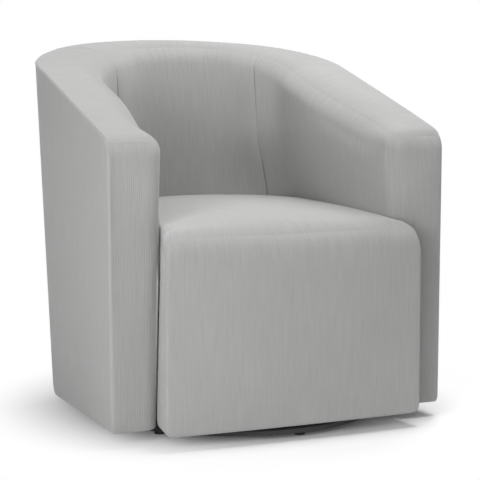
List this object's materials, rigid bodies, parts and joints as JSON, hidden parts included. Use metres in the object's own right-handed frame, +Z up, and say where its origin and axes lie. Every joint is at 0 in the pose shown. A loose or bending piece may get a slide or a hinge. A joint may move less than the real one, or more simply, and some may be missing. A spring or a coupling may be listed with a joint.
{
  "type": "swivel armchair",
  "caption": "Barrel armchair in ribbed cloth with sloping wrap-around arms and back and a tight seat, turning on a round floor base.",
  "frame": {"origin": "on the floor, where the axis of the swivel meets it", "axes": "+Z up along the swivel, the front of the chair towards -Y, +X to the left of a person seated"},
  "size_m": [0.761, 0.776, 0.8277],
  "materials": {
    "upholstery": "light grey woven cloth with a fine upright rib",
    "foam": "matt cream upholstery foam",
    "felt": "matt grey needled felt",
    "webbing": "matt woven jute webbing",
    "dust_cloth": "matt black spun cloth",
    "timber": "plain sawn hardwood and plywood",
    "hardboard": "smooth brown hardboard",
    "base_board": "satin charcoal paint",
    "glide": "matt black nylon",
    "plate": "black powder coat",
    "zinc_steel": "bright zinc",
    "spring_steel": "oiled spring steel",
    "nylon": "natural nylon",
    "cage": "black moulded plastic"
  },
  "bodies": {
    "base": {"base_disc": "base_board", "base_glides": "glide", "swivel_lower_plate": "plate", "lower_plate_screws": "zinc_steel", "swivel_hub": "zinc_steel"},
    "bearing": {"bearing_rollers": "nylon", "roller_cage": "cage"},
    "chair": {"arm_board_left": "hardboard", "arm_board_right": "hardboard", "arm_foam_left": "foam", "arm_foam_right": "foam", "arm_post_left": "timber", "arm_post_right": "timber", "arm_rail_left": "timber", "arm_rail_right": "timber", "back_foam": "foam", "back_post_left": "timber", "back_post_right": "timber", "back_rail": "timber", "back_stile": "timber", "back_webbing": "webbing", "base_panel": "timber", "corner_blocks": "timber", "dust_cover": "dust_cloth", "front_board": "timber", "front_pad": "foam", "front_side_left": "timber", "front_side_right": "timber", "inside_arm_cover_left": "upholstery", "inside_arm_cover_right": "upholstery", "inside_back_cover": "upholstery", "lower_rail_back": "timber", "lower_rail_left": "timber", "lower_rail_right": "timber", "outside_arm_cover_left": "upholstery", "outside_arm_cover_right": "upholstery", "outside_back_cover": "upholstery", "seat_cover": "upholstery", "seat_cross_rail": "timber", "seat_foam": "foam", "seat_rear_rail": "timber", "seat_side_left": "timber", "seat_side_right": "timber", "seat_springs": "spring_steel", "spring_clips": "zinc_steel", "spring_pad": "felt", "swivel_upper_plate": "plate", "upper_plate_screws": "zinc_steel"}
  },
  "joints": [
    {"name": "swivel", "type": "hinge", "parent": "base", "child": "chair", "pos_m": [0, 0, 0], "axis": [0, 0, 1], "continuous": true},
    {"name": "bearing_turn", "type": "hinge", "parent": "base", "child": "bearing", "pos_m": [0, 0, 0], "axis": [0, 0, 1], "continuous": true}
  ],
  "couplings": [
    {"joint": "bearing_turn", "follows": "swivel", "ratio": 0.5}
  ]
}
